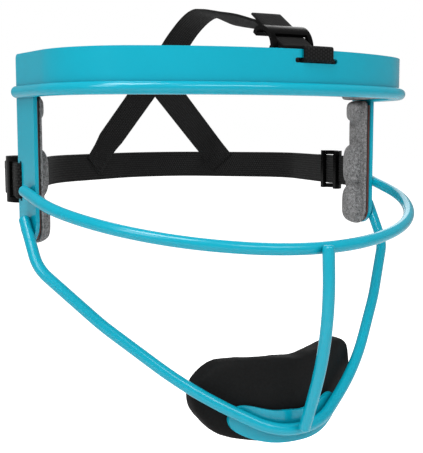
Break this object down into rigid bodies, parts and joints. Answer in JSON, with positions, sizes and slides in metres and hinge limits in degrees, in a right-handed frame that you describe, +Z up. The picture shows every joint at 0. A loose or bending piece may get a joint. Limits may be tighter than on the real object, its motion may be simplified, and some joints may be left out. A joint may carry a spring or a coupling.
{
  "type": "softball face guard",
  "caption": "Open steel wire fielding face guard with a padded forehead band, side plates, a chin cup and an adjustable webbing harness.",
  "frame": {"origin": "middle of the head opening, in the cage's plane of symmetry, on the height of the brow bar", "axes": "+Z up, +Y backward from the face to the back of the head, +X to the wearer's left"},
  "size_m": [0.1899, 0.2363, 0.1854],
  "materials": {
    "coated_steel": "satin powder coat",
    "hook_tape": "matte hook tape",
    "black_foam": "matte moulded foam",
    "grey_foam": "heather knit over foam",
    "webbing": "woven webbing",
    "slider_plastic": "gloss moulding"
  },
  "bodies": {
    "guard": {"forehead_band": "coated_steel", "brow_bar": "coated_steel", "side_plate_left": "coated_steel", "side_plate_right": "coated_steel", "cheek_loop_bar": "coated_steel", "jaw_bar": "coated_steel", "nose_bar": "coated_steel", "chin_plate": "coated_steel", "chin_hook_patch": "hook_tape", "forehead_hook_tape": "hook_tape", "side_hook_tape_left": "hook_tape", "side_hook_tape_right": "hook_tape", "back_strap": "webbing", "crown_strap": "webbing", "crown_strap_leg": "webbing"},
    "forehead_pad_body": {"forehead_pad": "grey_foam"},
    "side_pad_left_body": {"side_pad_left": "grey_foam"},
    "side_pad_right_body": {"side_pad_right": "grey_foam"},
    "chin_pad_body": {"chin_pad": "black_foam"},
    "crown_slider_body": {"crown_slider": "slider_plastic"},
    "back_slider_left_body": {"back_slider_left": "slider_plastic"},
    "back_slider_right_body": {"back_slider_right": "slider_plastic"}
  },
  "joints": [
    {"name": "crown_slider_slide", "type": "slide", "parent": "guard", "child": "crown_slider_body", "axis": [0, 0.848, 0.5299], "range_m": [-0.0015, 0.002]},
    {"name": "back_slider_left_slide", "type": "slide", "parent": "guard", "child": "back_slider_left_body", "axis": [0.165, 0.9863, 0], "range_m": [-0.006, 0.009]},
    {"name": "back_slider_right_slide", "type": "slide", "parent": "guard", "child": "back_slider_right_body", "axis": [0.1149, 0.9934, 0], "range_m": [-0.0005, 0.0045]},
    {"name": "forehead_pad_pull", "type": "slide", "parent": "guard", "child": "forehead_pad_body", "axis": [0, 1, 0], "range_m": [0, 0.015]},
    {"name": "side_pad_left_pull", "type": "slide", "parent": "guard", "child": "side_pad_left_body", "axis": [-0.9954, 0.0958, 0], "range_m": [0, 0.012]},
    {"name": "side_pad_right_pull", "type": "slide", "parent": "guard", "child": "side_pad_right_body", "axis": [0.9954, 0.0958, 0], "range_m": [0, 0.012]},
    {"name": "chin_pad_pull", "type": "slide", "parent": "guard", "child": "chin_pad_body", "axis": [0, 1, 0], "range_m": [0, 0.015]}
  ]
}
